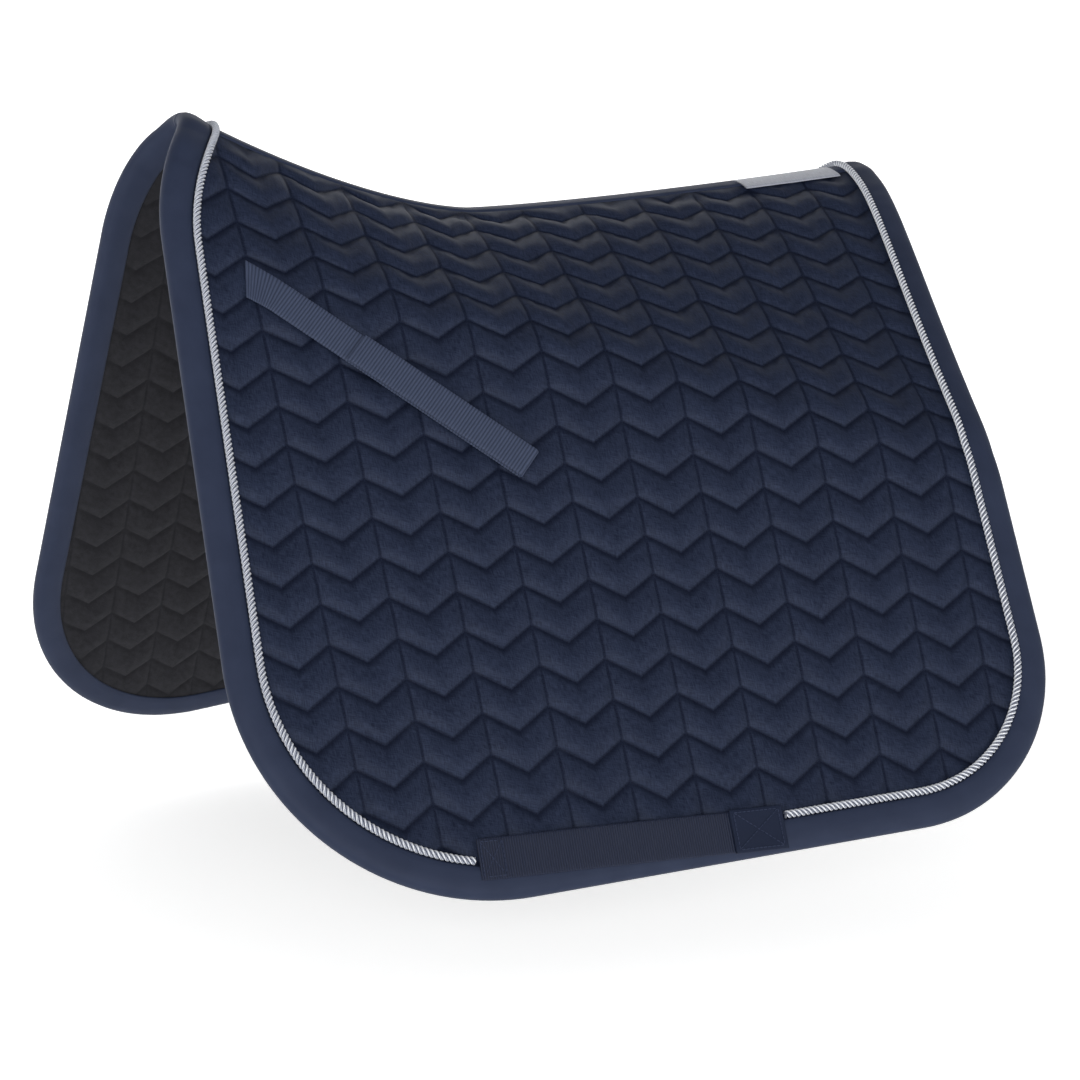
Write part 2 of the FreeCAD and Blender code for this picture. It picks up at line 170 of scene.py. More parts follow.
def build_table():
    """Points of the section at each x, evenly spaced from the ridge to a little below the fold."""
    shares = SHARES
    k = np.repeat(((TABLE_X - WITHER_X) / (LOIN_X - WITHER_X))[:, None], len(shares), 1)
    share = np.repeat(shares[None], len(TABLE_X), 0)
    for _ in range(8):
        k += (TABLE_X[:, None] - crown_point(k, share)[..., 0]) / (LOIN_X - WITHER_X)
    points = crown_point(k, share)
    arc = np.cumsum(np.linalg.norm(np.diff(points, axis=1), axis=2), axis=1)
    arc = np.concatenate([np.zeros((len(TABLE_X), 1)), arc], 1)
    length = arc[:, -1]
    share_table = np.empty((len(TABLE_X), TABLE_STEPS + 1))
    table = np.empty((len(TABLE_X), TABLE_STEPS + 1, 3))
    for n in range(len(TABLE_X)):
        below = np.linspace(-length[n], TABLE_BELOW, TABLE_STEPS + 1)
        share_table[n] = np.interp(below, arc[n] - length[n], shares)
        for axis in range(3):
            table[n, :, axis] = np.interp(below, arc[n] - length[n], points[n, :, axis])
        flap = below > 0
        table[n, flap] = points[n, -1] + np.multiply.outer(below[flap], FLAP_DOWN)
        # the bend at the fold is rounded by averaging over a window that closes at the ridge
        window = np.minimum(np.minimum(SMOOTHING, below + length[n]), TABLE_BELOW - below)
        window = np.maximum(window, 1e-6)
        step = below[1] - below[0]
        total = np.concatenate([[np.zeros(3)], np.cumsum((table[n, 1:] + table[n, :-1]) / 2 * step, axis=0)])
        keep = window < step
        for axis in range(3):
            after = np.interp(below + window, below, total[:, axis])
            before = np.interp(below - window, below, total[:, axis])
            smooth = (after - before) / (2 * window)
            table[n, :, axis] = np.where(keep, table[n, :, axis], smooth)
    return table, length, share_table, arc - length[:, None]


TABLE, CROWN_ARC, SHARE_TABLE, BELOW_TABLE = build_table()


def crown_arc(x):
    """The distance from the ridge down to the fold at x."""
    return np.interp(x, TABLE_X, CROWN_ARC)


def look_up(table, x, step):
    """A value of a table whose rows are places along x, between its entries."""
    column = np.clip((x - TABLE_X[0]) / (TABLE_X[1] - TABLE_X[0]), 0, len(TABLE_X) - 1.001)
    step = np.clip(step, 0, table.shape[1] - 1.001)
    c, s = column.astype(int), step.astype(int)
    fc, fs = column - c, step - s
    if table.ndim == 3:
        fc, fs = fc[..., None], fs[..., None]
    near = table[c, s] * (1 - fs) + table[c, s + 1] * fs
    far = table[c + 1, s] * (1 - fs) + table[c + 1, s + 1] * fs
    return near * (1 - fc) + far * fc


def table_step(x, below):
    arc = crown_arc(x)
    return (below + arc) / (TABLE_BELOW + arc) * TABLE_STEPS


def middle(x, below):
    """The middle of the thickness. Below is the distance under the fold, negative on the crown."""
    x, below = np.broadcast_arrays(np.asarray(x, float), np.asarray(below, float))
    point = look_up(TABLE, x, table_step(x, below))
    along = (x - FOLD_FRONT[0]) / FOLD_AXIS[0]
    flat = FOLD_FRONT + along[..., None] * FOLD_AXIS + below[..., None] * FLAP_DOWN
    return np.where((below > TABLE_BELOW / 2)[..., None], flat, point)


def surface(x, below, level, side):
    """A point of the pad at a height above the middle of its thickness, outwards."""
    d = 0.0015
    top = -crown_arc(x)
    upper, lower = np.maximum(below - d, top), below + d
    across = middle(x, lower) - middle(x, upper)
    along = middle(x + d, below) - middle(x - d, below)
    at_ridge = below <= top + 1e-6
    across[..., 0] = np.where(at_ridge, 0, across[..., 0])
    across[..., 2] = np.where(at_ridge, 0, across[..., 2])
    along[..., 1] = np.where(at_ridge, 0, along[..., 1])
    normal = np.cross(across, along)
    normal /= np.linalg.norm(normal, axis=-1, keepdims=True)
    point = middle(x, below) + normal * np.asarray(level)[..., None]
    point[..., 1] *= -side
    return point


def flap_to_surface(along, drop):
    """Flap coordinates, along the fold line and square to it, as x and distance below the fold."""
    below = drop / DROP_SHARE
    x = FOLD_FRONT[0] + (along - ALONG_PER_DROP * below) * FOLD_AXIS[0]
    return x, below


# ---- the edge of the pad ----

OUTLINE = np.array([(0, 0), FRONT_CORNER, REAR_CORNER, (FOLD_LENGTH, 0)], float)
HEADINGS = np.diff(OUTLINE, axis=0)
HEADINGS /= np.linalg.norm(HEADINGS, axis=1, keepdims=True)
INWARDS = np.stack([HEADINGS[:, 1], -HEADINGS[:, 0]], 1)


def rounded_corners():
    """Number, radius, half the turn and centre of each of the flap's two lower corners."""
    for n, radius in ((0, FRONT_RADIUS), (1, REAR_RADIUS)):
        half = math.acos(HEADINGS[n] @ HEADINGS[n + 1]) / 2
        bisector = HEADINGS[n + 1] - HEADINGS[n]
        yield n, radius, half, OUTLINE[n + 1] + bisector / np.linalg.norm(bisector) * radius / math.cos(half)


def edge_route(inset, counts=(30, 40, 40, 56, 30, 24, 70)):
    """The pad's outline moved inwards, from the withers down round the flap and up to the loin."""
    bends = []
    for n, radius, half, centre in rounded_corners():
        angle = np.linspace(0, 2 * half, counts[2 + 2 * n] + 1)[:, None]
        bends.append(centre + (-INWARDS[n] * np.cos(angle) + HEADINGS[n] * np.sin(angle)) * (radius - inset))
    starts = []
    for corner, n in ((OUTLINE[0], 0), (OUTLINE[3], 2)):
        start = corner + INWARDS[n] * inset
        starts.append(start - HEADINGS[n] * start[1] / HEADINGS[n][1])
    lines = [
        np.linspace(starts[0], bends[0][0], counts[1] + 1)[:-1],
        bends[0][:-1],
        np.linspace(bends[0][-1], bends[1][0], counts[3] + 1)[:-1],
        bends[1][:-1],
        np.linspace(bends[1][-1], starts[1], counts[5] + 1),
    ]
    x, below = flap_to_surface(*np.concatenate(lines).T)
    parts = []
    for k, count in ((inset / CROWN_LENGTH, counts[0]), (1 - inset / CROWN_LENGTH, counts[6])):
        share = np.linspace(0, 1, count + 1)
        point = crown_point(np.full(count + 1, k), share)
        parts.append((point[:, 0], look_up(BELOW_TABLE, point[:, 0], share * (len(SHARES) - 1))))
    front, rear = parts
    return (
        np.concatenate([front[0][:-1], x, rear[0][::-1][1:]]),
        np.concatenate([front[1][:-1], below, rear[1][::-1][1:]]),
    )


def edge_distance(x, below):
    """How far inside the pad's outline a point lies."""
    drop = below * DROP_SHARE
    along = (x - FOLD_FRONT[0]) / FOLD_AXIS[0] + ALONG_PER_DROP * below
    point = np.stack([along, drop], -1)
    distance = np.min([(point - OUTLINE[n]) @ INWARDS[n] for n in range(3)], axis=0)
    for n, radius, _, centre in rounded_corners():
        away = point - centre
        within = (away @ HEADINGS[n] > 0) & (away @ HEADINGS[n + 1] < 0)
        distance = np.where(within, np.minimum(distance, radius - np.linalg.norm(away, axis=-1)), distance)
    # the two ends of the crown are curved, and its sections are evenly spaced from one to the other
    share = look_up(SHARE_TABLE, x, table_step(x, below))
    first = crown_point(np.zeros_like(x), share)[..., 0]
    last = crown_point(np.ones_like(x), share)[..., 0]
    k = (x - first) / (last - first)
    return np.where(below < 0, np.minimum(k, 1 - k) * CROWN_LENGTH, distance)


# ---- meshes ----


def add_mesh(name, vertices, faces, material, smooth=True):
    mesh = bpy.data.meshes.new(name)
    mesh.from_pydata(np.asarray(vertices).reshape(-1, 3).tolist(), [], faces)
    mesh.validate()
    mesh.update()
    piece = bpy.data.objects.new(name, mesh)
    bpy.context.scene.collection.objects.link(piece)
    if smooth:
        mesh.shade_smooth()
    piece.data.materials.append(material)
    return piece


def grid_faces(rows, columns, closed=False, flip=False):
    """Quads of a grid of vertices. Closed joins the last column to the first."""
    faces = []
    for r in range(rows - 1):
        for c in range(columns if closed else columns - 1):
            n = (c + 1) % columns
            quad = (r * columns + c, r * columns + n, (r + 1) * columns + n, (r + 1) * columns + c)
            faces.append(quad[::-1] if flip else quad)
    return faces


def capped_faces(rows, columns, flip):
    """Quads round a tube of closed rings, with a face over each end."""
    first = list(range(columns))
    last = [(rows - 1) * columns + n for n in range(columns)]
    ends = [first[::-1], last] if flip else [first, last[::-1]]
    return grid_faces(rows, columns, closed=True, flip=flip) + ends


def distances(points):
    """How far along a line of points each of them lies."""
    step = np.linalg.norm(np.diff(points, axis=0), axis=1)
    return np.concatenate([[0], np.cumsum(step)])


def point_attribute(piece, name, values):
    attribute = piece.data.attributes.new(name, "FLOAT_VECTOR", "POINT")
    attribute.data.foreach_set("vector", np.asarray(values, np.float32).ravel())


def bend_at_fold(piece):
    """Bakes the piece's placement into its mesh. Cloth that crosses the fold line already follows the crown
    above it and the flap below it, as it was built.
    """
    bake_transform(piece)


# ---- materials ----


class Cloth:
    """A procedural material whose pattern lies on the cloth itself, so that it bends and moves with it."""

    def __init__(self, name, roughness, **sockets):
        self.material = bpy.data.materials.new(name)
        self.material.use_nodes = True
        self.nodes = self.material.node_tree.nodes
        self.links = self.material.node_tree.links
        self.shader = self.nodes["Principled BSDF"]
        self.shader.inputs["Roughness"].default_value = roughness
        for socket, value in sockets.items():
            self.shader.inputs[socket.replace("_", " ")].default_value = value

    def attribute(self, name):
        node = self.nodes.new("ShaderNodeAttribute")
        node.attribute_name = name
        return node.outputs["Vector"]

    def split(self, vector):
        node = self.nodes.new("ShaderNodeSeparateXYZ")
        self.links.new(vector, node.inputs[0])
        return node.outputs

    def math(self, operation, *values):
        node = self.nodes.new("ShaderNodeMath")
        node.operation = operation
        for socket, value in zip(node.inputs, values):
            if isinstance(value, (int, float)):
                socket.default_value = value
            else:
                self.links.new(value, socket)
        return node.outputs[0]

    def scaled(self, vector, scale):
        node = self.nodes.new("ShaderNodeVectorMath")
        node.operation = "MULTIPLY"
        self.links.new(vector, node.inputs[0])
        node.inputs[1].default_value = scale
        return node.outputs[0]

    def noise(self, vector, scale, detail=3.0, roughness=0.55):
        node = self.nodes.new("ShaderNodeTexNoise")
        self.links.new(vector, node.inputs["Vector"])
        node.inputs["Scale"].default_value = scale
        node.inputs["Detail"].default_value = detail
        node.inputs["Roughness"].default_value = roughness
        return node.outputs["Fac"]

    def ramp(self, value, *stops_and_colours):
        node = self.nodes.new("ShaderNodeValToRGB")
        self.links.new(value, node.inputs["Fac"])
        ramp = node.color_ramp
        while len(ramp.elements) < len(stops_and_colours):
            ramp.elements.new(0.5)
        for element, (place, colour) in zip(ramp.elements, stops_and_colours):
            element.position = place
            element.color = (*colour, 1)
        return node.outputs["Color"]

    def mix(self, share, first, second):
        node = self.nodes.new("ShaderNodeMix")
        node.data_type = "RGBA"
        sockets = (node.inputs["Factor"], node.inputs[6], node.inputs[7])
        for socket, value in zip(sockets, (share, first, second)):
            if isinstance(value, (int, float)):
                socket.default_value = value
            elif isinstance(value, tuple):
                socket.default_value = (*value, 1)
            else:
                self.links.new(value, socket)
        return node.outputs[2]

    def colour(self, value):
        self.links.new(value, self.shader.inputs["Base Color"])

    def rough(self, value):
        self.links.new(value, self.shader.inputs["Roughness"])

    def bump(self, height, distance, strength=1.0):
        node = self.nodes.new("ShaderNodeBump")
        node.inputs["Strength"].default_value = strength
        node.inputs["Distance"].default_value = distance
        self.links.new(height, node.inputs["Height"])
        previous = self.shader.inputs["Normal"]
        if previous.is_linked:
            self.links.new(previous.links[0].from_socket, node.inputs["Normal"])
        self.links.new(node.outputs["Normal"], previous)


def srgb(red, green, blue):
    """A colour given as it looks, 0 to 255, as the shader wants it."""
    shares = (red / 255, green / 255, blue / 255)
    return tuple(c / 12.92 if c < 10.3 / 255 else ((c + 0.055) / 1.055) ** 2.4 for c in shares)


STITCH_GAP = 0.28


def stitches_and_painted_crease_shade(cloth, thread_half=0.35 * MM, stitch=3.1 * MM):
    """Shade painted round the stitched lines, strongest on them and fading over a broad band below each row
    line and narrow bands above it and beside each column line; and the share of the surface taken by the
    thread of each stitch in them.
    """
    column, row, _ = cloth.split(cloth.attribute("quilt"))
    to_column = cloth.math("PINGPONG", column, 0.5)
    to_row = cloth.math("PINGPONG", row, 0.5)
    line_v = cloth.math("LESS_THAN", to_column, thread_half / COLUMN)
    line_h = cloth.math("LESS_THAN", to_row, thread_half / ROW)
    past_v = cloth.math("FRACT", cloth.math("MULTIPLY", row, ROW / stitch))
    past_h = cloth.math("FRACT", cloth.math("MULTIPLY", column, COLUMN / stitch))
    sewn_v = cloth.math("MULTIPLY", line_v, cloth.math("GREATER_THAN", past_v, STITCH_GAP))
    sewn_h = cloth.math("MULTIPLY", line_h, cloth.math("GREATER_THAN", past_h, STITCH_GAP))
    thread = cloth.math("MAXIMUM", sewn_v, sewn_h)
    # Painted shade: a broad dark band just below each row's stitched line, a narrow one just above it, and a
    # narrow one beside each column's line.
    past_row = cloth.math("FRACT", row)
    under = cloth.math("SUBTRACT", 1, cloth.math("MULTIPLY", past_row, 4.5))
    over = cloth.math("SUBTRACT", 1, cloth.math("MULTIPLY", cloth.math("SUBTRACT", 1, past_row), 18))
    shade_by_row = cloth.math("MAXIMUM", under, over)
    shade_by_column = cloth.math("SUBTRACT", 1, cloth.math("MULTIPLY", to_column, 30))
    crease = cloth.math("MAXIMUM", cloth.math("MAXIMUM", shade_by_row, shade_by_column), 0)
    return crease, thread


def satin(name):
    """Navy satin-weave cotton: fine slanting threads, a soft sheen, with shade painted darker into the
    quilted creases.
    """
    cloth = Cloth(name, 0.5, Sheen_Weight=0.02, Sheen_Roughness=0.35, Specular_IOR_Level=0.14)
    cloth.shader.inputs["Sheen Tint"].default_value = (0.45, 0.52, 0.75, 1)
    cloth.shader.inputs["Specular Tint"].default_value = (0.65, 0.72, 0.9, 1)
    place = cloth.attribute("cloth")
    crease, thread = stitches_and_painted_crease_shade(cloth)
    warp = cloth.noise(cloth.scaled(place, (1700, 150, 1)), 1.0, 2.0)
    weft = cloth.noise(cloth.scaled(place, (150, 1700, 1)), 1.0, 2.0)
    threads = cloth.math("MULTIPLY", cloth.math("ADD", warp, weft), 0.5)
    broad = cloth.noise(cloth.scaled(place, (22, 22, 22)), 1.0, 3.0)
    base = cloth.ramp(broad, (0.3, srgb(22, 28, 45)), (0.7, srgb(27, 34, 52)))
    slubs = cloth.ramp(threads, (0.38, srgb(12, 17, 30)), (0.62, srgb(62, 71, 95)))
    fine = cloth.mix(0.36, base, slubs)
    # Painted shade: the cloth is darkened towards navy-black along the creases of the quilting.
    dark = cloth.mix(cloth.math("MULTIPLY", crease, 0.85), fine, srgb(4, 8, 24))
    cloth.colour(cloth.mix(cloth.math("MULTIPLY", thread, 0.5), dark, srgb(30, 37, 57)))
    cloth.rough(cloth.math("ADD", 0.44, cloth.math("MULTIPLY", threads, 0.16)))
    cloth.bump(threads, 0.10 * MM, 0.5)
    cloth.bump(thread, 0.3 * MM, 0.8)
    return cloth.material


def fleece(name):
    """Black brushed fleece: short fibres lying every way, no shine."""
    cloth = Cloth(name, 0.95, Sheen_Weight=0.05, Sheen_Roughness=0.6, Specular_IOR_Level=0.1)
    cloth.shader.inputs["Sheen Tint"].default_value = (0.7, 0.72, 0.78, 1)
    place = cloth.attribute("cloth")
    crease, thread = stitches_and_painted_crease_shade(cloth)
    fibres = cloth.noise(place, 900.0, 4.0, 0.7)
    tufts = cloth.noise(place, 170.0, 3.0, 0.6)
    base = cloth.ramp(tufts, (0.32, srgb(20, 20, 23)), (0.68, srgb(35, 35, 39)))
    fuzzy = cloth.mix(cloth.math("MULTIPLY", fibres, 0.4), base, srgb(58, 58, 62))
    # Painted shade: the fleece is darkened along the creases of the quilting, as on the cover.
    dark = cloth.mix(cloth.math("MULTIPLY", crease, 0.5), fuzzy, srgb(14, 14, 17))
    cloth.colour(cloth.mix(cloth.math("MULTIPLY", thread, 0.35), dark, srgb(32, 33, 40)))
    cloth.bump(tufts, 0.7 * MM, 0.6)
    cloth.bump(fibres, 0.25 * MM, 0.7)
    return cloth.material


def plain_weave(name, dark, light, pitch=0.55 * MM, roughness=0.6, sheen=0.03):
    """Plain cotton: threads over and under each other, its tone varying in broad random patches and lighter
    along slubs.
    """
    cloth = Cloth(name, roughness, Sheen_Weight=sheen, Sheen_Roughness=0.45, Specular_IOR_Level=0.15)
    cloth.shader.inputs["Sheen Tint"].default_value = (0.55, 0.6, 0.8, 1)
    place = cloth.attribute("cloth")
    along, across, _ = cloth.split(place)
    turn = math.pi / pitch
    weave = cloth.math(
        "MULTIPLY",
        cloth.math("SINE", cloth.math("MULTIPLY", along, turn)),
        cloth.math("SINE", cloth.math("MULTIPLY", across, turn)),
    )
    slub = cloth.noise(cloth.scaled(place, (120, 900, 1)), 1.0, 3.0)
    broad = cloth.noise(place, 35.0, 3.0)
    base = cloth.mix(broad, dark, light)
    cloth.colour(cloth.mix(cloth.math("MULTIPLY", slub, 0.4), base, light))
    cloth.rough(cloth.math("ADD", roughness - 0.06, cloth.math("MULTIPLY", slub, 0.12)))
    cloth.bump(weave, 0.06 * MM, 0.5)
    cloth.bump(slub, 0.12 * MM, 0.5)
    return cloth.material


def ribbed(name, dark, light, pitch, roughness=0.5):
    """Woven webbing: cross ribs with fine threads running along the strap, with shade painted darker in the
    grooves between ribs and light painted on their crests.
    """
    cloth = Cloth(name, roughness, Sheen_Weight=0.04, Sheen_Roughness=0.4, Specular_IOR_Level=0.25)
    cloth.shader.inputs["Sheen Tint"].default_value = (0.6, 0.68, 0.9, 1)
    place = cloth.attribute("cloth")
    along, across, _ = cloth.split(place)
    rib = cloth.math("ABSOLUTE", cloth.math("SINE", cloth.math("MULTIPLY", along, math.pi / pitch)))
    threads = cloth.math("SINE", cloth.math("MULTIPLY", across, 2 * math.pi / (0.8 * MM)))
    uneven = cloth.noise(cloth.scaled(place, (260, 30, 1)), 1.0, 2.0)
    # Painted shade and highlight: the colour is dark in the grooves between ribs and light on their crests.
    base = cloth.mix(rib, dark, light)
    cloth.colour(cloth.mix(cloth.math("MULTIPLY", uneven, 0.5), base, light))
    cloth.bump(threads, 0.08 * MM, 0.6)
    cloth.bump(uneven, 0.2 * MM, 0.5)
    return cloth.material


def silver_thread(name):
    """Silver-white viscose strands: fine fibres along each strand and a soft shine, with shade painted darker
    on the side of each strand that faces the others.
    """
    cloth = Cloth(name, 0.4, Sheen_Weight=0.3, Sheen_Roughness=0.3, Specular_IOR_Level=0.6)
    place = cloth.attribute("cloth")
    fibres = cloth.noise(cloth.scaled(place, (500, 22, 7)), 1.0, 3.0)
    _, turn, _ = cloth.split(place)
    # Painted shade: each strand is darker on the side turned in towards the other strands.
    painted_strand_shade = cloth.math("MULTIPLY", cloth.math("SUBTRACT", cloth.math("PINGPONG", turn, 0.5), 0.10), 5.0)
    painted_strand_shade = cloth.math("MINIMUM", cloth.math("MAXIMUM", painted_strand_shade, 0), 1)
    bright = cloth.ramp(fibres, (0.3, srgb(205, 210, 220)), (0.6, srgb(248, 250, 253)))
    cloth.colour(cloth.mix(painted_strand_shade, bright, srgb(96, 104, 128)))
    cloth.rough(cloth.math("ADD", 0.3, cloth.math("MULTIPLY", fibres, 0.25)))
    cloth.bump(fibres, 0.15 * MM, 0.7)
    return cloth.material


def hook_and_loop(name, scale, dark, light):
    """Hook or loop tape: a dense field of small upright tufts."""
    cloth = Cloth(name, 0.75, Sheen_Weight=0.2, Specular_IOR_Level=0.4)
    place = cloth.attribute("cloth")
    node = cloth.nodes.new("ShaderNodeTexVoronoi")
    cloth.links.new(place, node.inputs["Vector"])
    node.inputs["Scale"].default_value = scale
    cloth.colour(cloth.mix(node.outputs["Distance"], light, dark))
    cloth.bump(cloth.math("SUBTRACT", 1, node.outputs["Distance"]), 0.6 * MM, 0.9)
    return cloth.material


def woven_label(name):
    """A blank woven label in pale grey satin."""
    cloth = Cloth(name, 0.45, Sheen_Weight=0.2, Specular_IOR_Level=0.5)
    place = cloth.attribute("cloth")
    _, across, _ = cloth.split(place)
    ribs = cloth.math("SINE", cloth.math("MULTIPLY", across, 2 * math.pi / (0.5 * MM)))
    threads = cloth.noise(cloth.scaled(place, (1800, 150, 1)), 1.0, 2.0)
    cloth.colour(cloth.ramp(threads, (0.3, srgb(136, 140, 153)), (0.7, srgb(168, 172, 184))))
    cloth.bump(ribs, 0.05 * MM, 0.5)
    cloth.bump(threads, 0.1 * MM, 0.5)
    return cloth.material


# ---- quilting ----

COLUMNS, ROWS = (-3, 14), (-15, 12)
COLUMN_STOPS = (0, 0.05, 0.13, 0.24, 0.37, 0.5, 0.63, 0.76, 0.87, 0.95)
ROW_STOPS = (0, 0.06, 0.15, 0.28, 0.42, 0.56, 0.7, 0.83, 0.92, 0.975)
PANEL_MARGIN = 10 * MM
SEAM_MARGIN = 2 * MM
RIM_LEVEL = 4.6 * MM
CORE_LEVEL = 0.3 * MM


def rows_at_fold(x):
    share = (x - FOLD_ORIGIN_X) / FOLD_SPAN
    start, slope, curve = ROWS_AT_FOLD
    return start + slope * share + curve * share**2


def quilt_point(column, row):
    """Where a point of the quilting lies: its x and its distance below the fold."""
    valley = 1 - np.abs(2 * (column - np.floor(column)) - 1)
    v = ROW * (row + CHEVRON * valley)
    x = FIRST_COLUMN_X + COLUMN * column + COLUMN_LEAN * v
    x = x + COLUMN_FAN * v * (column - FAN_MIDDLE) / FAN_MIDDLE
    return x, v - rows_at_fold(x)


def panel_distance(x, below):
    """How far a point is inside the panel's cut edge, at the binding or at the spine seam."""
    ridge = below + crown_arc(x)
    return np.minimum(edge_distance(x, below) - PANEL_MARGIN, ridge - SEAM_MARGIN)


def onto_edge(x, below):
    """Moves points to the panel's cut edge."""
    d = 0.5 * MM
    for _ in range(3):
        distance = panel_distance(x, below)
        slope_x = (panel_distance(x + d, below) - panel_distance(x - d, below)) / (2 * d)
        slope_b = (panel_distance(x, below + d) - panel_distance(x, below - d)) / (2 * d)
        steep = np.maximum(slope_x**2 + slope_b**2, 0.3)
        x = x - distance * slope_x / steep
        below = below - distance * slope_b / steep
    return x, below


def stops(limits, fractions):
    return np.array([n + f for n in range(*limits) for f in fractions] + [limits[1]], float)


def wobble(a, b, seed, count=14, low=2.0, high=9.0):
    """Smooth unevenness between -1 and 1 over two coordinates, from waves in many directions."""
    waves = np.random.default_rng(seed)
    total = 0
    for _ in range(count):
        angle, wave = waves.uniform(0, 2 * math.pi), waves.uniform(low, high)
        total = total + np.sin((a * math.cos(angle) + b * math.sin(angle)) * wave + waves.uniform(0, 7))
    return total / math.sqrt(count)


def pillow(column, row, x, below, side):
    """The height of the quilting, from 0 on a stitch line to about 1 in the middle of a cell."""
    across, down = column - np.floor(column), row - np.floor(row)
    rise = np.sin(math.pi * np.clip(down, 0, 1) ** 1.7) ** 0.75
    sides = 1 - 0.60 * np.abs(2 * across - 1) ** 9 - 0.12 * np.abs(2 * across - 1) ** 2
    cell = np.sin(np.floor(column) * 12.9898 + np.floor(row) * 78.233 + side) * 43758.5453
    uneven = 0.93 + 0.12 * (cell - np.floor(cell))
    ripple = 1 + 0.05 * wobble(x / MM, below / MM, 3, low=0.15, high=0.5)
    return rise * sides * uneven * ripple


SIM_COLUMN, SIM_ROW = 8, 6
SIM_FRAMES = 20
# The quilting's cells are small, so the filling needs far more pressure here than a whole cushion does.
FILLING_PRESSURE = 400.0
CLOTH_MASS = 0.0005
SPARE_CLOTH = 0.03
MOST_PUFF = 5.2 * MM


def simulated_puff():
    """The pad's cover laid flat, sewn down along the quilting's lines and pushed out by its filling.

    Returns the sewn grid's columns and rows, and how far each point moved along x, down the pad and outwards.
    """
    columns = np.arange(COLUMNS[0] * SIM_COLUMN, COLUMNS[1] * SIM_COLUMN + 1) / SIM_COLUMN
    rows = np.arange(ROWS[0] * SIM_ROW, ROWS[1] * SIM_ROW + 1) / SIM_ROW
    column, row = np.meshgrid(columns, rows)
    x, below = quilt_point(column, row)
    sewn = (column == np.floor(column)) | (row == np.floor(row))
    start = 0.5 * MM * (1 + wobble(x / MM, below / MM, 21, low=0.1, high=0.7)) * ~sewn
    rest = np.stack([x, below, start], -1)
    cloth = bpy.data.meshes.new("puff")
    cloth.from_pydata(rest.reshape(-1, 3).tolist(), [], grid_faces(len(rows), len(columns)))
    piece = bpy.data.objects.new("puff", cloth)
    bpy.context.scene.collection.objects.link(piece)
    group = piece.vertex_groups.new(name="sewn")
    group.add([int(n) for n in np.flatnonzero(sewn.ravel())], 1, "REPLACE")
    modifier = piece.modifiers.new("cloth", "CLOTH")
    modifier.point_cache.frame_start, modifier.point_cache.frame_end = 1, SIM_FRAMES
    settings = modifier.settings
    settings.vertex_group_mass = "sewn"
    settings.mass = CLOTH_MASS
    settings.use_pressure = True
    settings.uniform_pressure_force = FILLING_PRESSURE
    settings.shrink_min = -SPARE_CLOTH
    settings.effector_weights.gravity = 0
    scene = bpy.context.scene
    for frame_number in range(1, SIM_FRAMES + 1):
        scene.frame_set(frame_number)
    evaluated = piece.evaluated_get(bpy.context.evaluated_depsgraph_get())
    moved = np.empty(rest.size, np.float32)
    evaluated.data.vertices.foreach_get("co", moved)
    moved = moved.reshape(rest.shape) - np.stack([x, below, np.zeros_like(x)], -1)
    bpy.data.objects.remove(piece)
    bpy.data.meshes.remove(cloth)
    scene.frame_set(1)
    reach = np.linalg.norm(moved, axis=-1, keepdims=True)
    return columns, rows, moved * np.minimum(1, MOST_PUFF / np.maximum(reach, 1e-9))


PUFF = simulated_puff()
SIMULATED_SHARE = 0.7


def simulated_move(column, row):
    """How the filling moves a point of the quilting, read from the simulation."""
    columns, rows, moved = PUFF
    c = np.clip((column - columns[0]) * SIM_COLUMN, 0, len(columns) - 1.001)
    r = np.clip((row - rows[0]) * SIM_ROW, 0, len(rows) - 1.001)
    i, j = c.astype(int), r.astype(int)
    fi, fj = (c - i)[:, None], (r - j)[:, None]
    upper = moved[j, i] * (1 - fi) + moved[j, i + 1] * fi
    lower = moved[j + 1, i] * (1 - fi) + moved[j + 1, i + 1] * fi
    return upper * (1 - fj) + lower * fj


